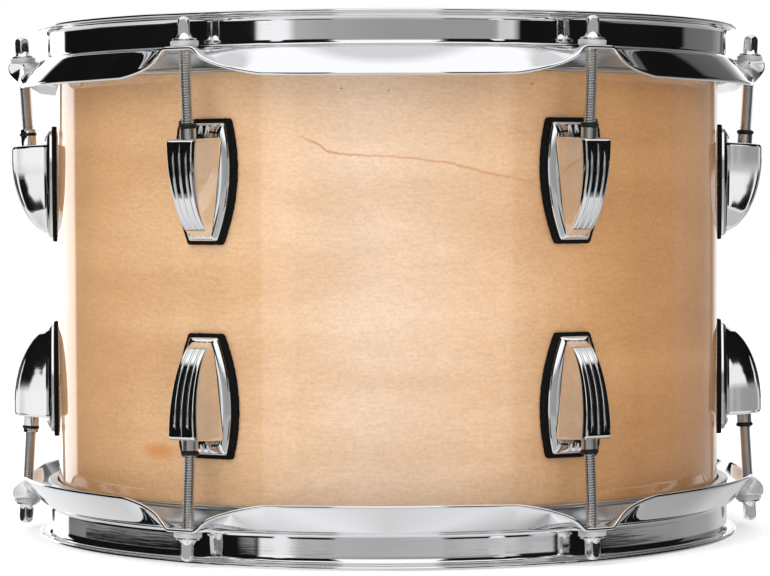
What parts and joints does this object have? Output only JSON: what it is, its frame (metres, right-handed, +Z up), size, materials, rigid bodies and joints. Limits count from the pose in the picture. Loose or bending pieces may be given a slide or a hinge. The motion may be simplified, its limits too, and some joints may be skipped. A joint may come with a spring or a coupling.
{
  "type": "tom drum",
  "caption": "Double-headed tom drum with a clear-finished maple shell, chrome triple-flanged hoops, cast lugs, swivel nuts and square-headed tension rods.",
  "frame": {"origin": "centre of the resonant rim's lip plane, on the drum's axis, where the drum stands", "axes": "+Z up the drum's axis from the resonant head to the batter head, +X through the first lug, -Y towards the viewer"},
  "size_m": [0.3414, 0.3302, 0.2256],
  "materials": {
    "maple_shell": "clear gloss lacquer over maple ply",
    "chrome_plate": "bright chrome plate on bent steel",
    "chrome_casting": "bright chrome plate on a zinc casting",
    "rod_steel": "chrome plated steel, rolled thread",
    "nut_steel": "nickel plated, slightly dull",
    "pale_washer": "pale satin plated washer",
    "satin_aluminium": "satin drawn aluminium",
    "head_film": "coated polyester film",
    "black_gasket": "matt black with a fibrous edge",
    "black_rubber": "smooth black rubber",
    "white_nylon": "natural nylon",
    "zinc_steel": "zinc plated steel"
  },
  "bodies": {
    "drum": {"shell": "maple_shell", "vent_grommet": "chrome_plate", "batter_head": "head_film", "batter_lug_gaskets": "black_gasket", "batter_nut_rings": "black_rubber", "batter_nut_sleeves": "white_nylon", "batter_lug_screws": "zinc_steel", "batter_screw_washers": "zinc_steel", "batter_lug_1": "chrome_casting", "batter_lug_2": "chrome_casting", "batter_lug_3": "chrome_casting", "batter_lug_4": "chrome_casting", "batter_lug_5": "chrome_casting", "batter_lug_6": "chrome_casting", "batter_nut_1": "nut_steel", "batter_nut_2": "nut_steel", "batter_nut_3": "nut_steel", "batter_nut_4": "nut_steel", "batter_nut_5": "nut_steel", "batter_nut_6": "nut_steel", "resonant_head": "head_film", "resonant_lug_gaskets": "black_gasket", "resonant_nut_rings": "black_rubber", "resonant_nut_sleeves": "white_nylon", "resonant_lug_screws": "zinc_steel", "resonant_screw_washers": "zinc_steel", "resonant_lug_1": "chrome_casting", "resonant_lug_2": "chrome_casting", "resonant_lug_3": "chrome_casting", "resonant_lug_4": "chrome_casting", "resonant_lug_5": "chrome_casting", "resonant_lug_6": "chrome_casting", "resonant_nut_1": "nut_steel", "resonant_nut_2": "nut_steel", "resonant_nut_3": "nut_steel", "resonant_nut_4": "nut_steel", "resonant_nut_5": "nut_steel", "resonant_nut_6": "nut_steel"},
    "batter_hoop_set": {"batter_hoop": "chrome_plate", "batter_flesh_hoop": "satin_aluminium", "batter_rod_washers": "pale_washer"},
    "batter_rod_1": {"batter_rod_1": "rod_steel"},
    "batter_rod_2": {"batter_rod_2": "rod_steel"},
    "batter_rod_3": {"batter_rod_3": "rod_steel"},
    "batter_rod_4": {"batter_rod_4": "rod_steel"},
    "batter_rod_5": {"batter_rod_5": "rod_steel"},
    "batter_rod_6": {"batter_rod_6": "rod_steel"},
    "resonant_hoop_set": {"resonant_hoop": "chrome_plate", "resonant_flesh_hoop": "satin_aluminium", "resonant_rod_washers": "pale_washer"},
    "resonant_rod_1": {"resonant_rod_1": "rod_steel"},
    "resonant_rod_2": {"resonant_rod_2": "rod_steel"},
    "resonant_rod_3": {"resonant_rod_3": "rod_steel"},
    "resonant_rod_4": {"resonant_rod_4": "rod_steel"},
    "resonant_rod_5": {"resonant_rod_5": "rod_steel"},
    "resonant_rod_6": {"resonant_rod_6": "rod_steel"}
  },
  "joints": [
    {"name": "batter_hoop_lift", "type": "slide", "parent": "drum", "child": "batter_hoop_set", "axis": [0, 0, 1], "range_m": [0, 0.003]},
    {"name": "batter_rod_1_turn", "type": "hinge", "parent": "batter_hoop_set", "child": "batter_rod_1", "pos_m": [0.16465, 0, 0.2114], "axis": [0.0602, 0, 0.9982], "range_deg": [0, 1020]},
    {"name": "batter_rod_2_turn", "type": "hinge", "parent": "batter_hoop_set", "child": "batter_rod_2", "pos_m": [0.08232, 0.14259, 0.2114], "axis": [0.0301, 0.0521, 0.9982], "range_deg": [0, 1020]},
    {"name": "batter_rod_3_turn", "type": "hinge", "parent": "batter_hoop_set", "child": "batter_rod_3", "pos_m": [-0.08232, 0.14259, 0.2114], "axis": [-0.0301, 0.0521, 0.9982], "range_deg": [0, 1020]},
    {"name": "batter_rod_4_turn", "type": "hinge", "parent": "batter_hoop_set", "child": "batter_rod_4", "pos_m": [-0.16465, 0, 0.2114], "axis": [-0.0602, 0, 0.9982], "range_deg": [0, 1020]},
    {"name": "batter_rod_5_turn", "type": "hinge", "parent": "batter_hoop_set", "child": "batter_rod_5", "pos_m": [-0.08232, -0.14259, 0.2114], "axis": [-0.0301, -0.0521, 0.9982], "range_deg": [0, 1020]},
    {"name": "batter_rod_6_turn", "type": "hinge", "parent": "batter_hoop_set", "child": "batter_rod_6", "pos_m": [0.08232, -0.14259, 0.2114], "axis": [0.0301, -0.0521, 0.9982], "range_deg": [0, 1020]},
    {"name": "resonant_hoop_lift", "type": "slide", "parent": "drum", "child": "resonant_hoop_set", "axis": [0, 0, -1], "range_m": [0, 0.003]},
    {"name": "resonant_rod_1_turn", "type": "hinge", "parent": "resonant_hoop_set", "child": "resonant_rod_1", "pos_m": [0.16465, 0, 0.0142], "axis": [0.0602, 0, -0.9982], "range_deg": [0, 1020]},
    {"name": "resonant_rod_2_turn", "type": "hinge", "parent": "resonant_hoop_set", "child": "resonant_rod_2", "pos_m": [0.08232, 0.14259, 0.0142], "axis": [0.0301, 0.0521, -0.9982], "range_deg": [0, 1020]},
    {"name": "resonant_rod_3_turn", "type": "hinge", "parent": "resonant_hoop_set", "child": "resonant_rod_3", "pos_m": [-0.08232, 0.14259, 0.0142], "axis": [-0.0301, 0.0521, -0.9982], "range_deg": [0, 1020]},
    {"name": "resonant_rod_4_turn", "type": "hinge", "parent": "resonant_hoop_set", "child": "resonant_rod_4", "pos_m": [-0.16465, 0, 0.0142], "axis": [-0.0602, 0, -0.9982], "range_deg": [0, 1020]},
    {"name": "resonant_rod_5_turn", "type": "hinge", "parent": "resonant_hoop_set", "child": "resonant_rod_5", "pos_m": [-0.08232, -0.14259, 0.0142], "axis": [-0.0301, -0.0521, -0.9982], "range_deg": [0, 1020]},
    {"name": "resonant_rod_6_turn", "type": "hinge", "parent": "resonant_hoop_set", "child": "resonant_rod_6", "pos_m": [0.08232, -0.14259, 0.0142], "axis": [0.0301, -0.0521, -0.9982], "range_deg": [0, 1020]}
  ],
  "couplings": [
    {"joint": "batter_rod_1_turn", "follows": "batter_hoop_lift", "rad_per_m": 5926.3},
    {"joint": "batter_rod_2_turn", "follows": "batter_hoop_lift", "rad_per_m": 5926.3},
    {"joint": "batter_rod_3_turn", "follows": "batter_hoop_lift", "rad_per_m": 5926.3},
    {"joint": "batter_rod_4_turn", "follows": "batter_hoop_lift", "rad_per_m": 5926.3},
    {"joint": "batter_rod_5_turn", "follows": "batter_hoop_lift", "rad_per_m": 5926.3},
    {"joint": "batter_rod_6_turn", "follows": "batter_hoop_lift", "rad_per_m": 5926.3},
    {"joint": "resonant_rod_1_turn", "follows": "resonant_hoop_lift", "rad_per_m": 5926.3},
    {"joint": "resonant_rod_2_turn", "follows": "resonant_hoop_lift", "rad_per_m": 5926.3},
    {"joint": "resonant_rod_3_turn", "follows": "resonant_hoop_lift", "rad_per_m": 5926.3},
    {"joint": "resonant_rod_4_turn", "follows": "resonant_hoop_lift", "rad_per_m": 5926.3},
    {"joint": "resonant_rod_5_turn", "follows": "resonant_hoop_lift", "rad_per_m": 5926.3},
    {"joint": "resonant_rod_6_turn", "follows": "resonant_hoop_lift", "rad_per_m": 5926.3}
  ]
}
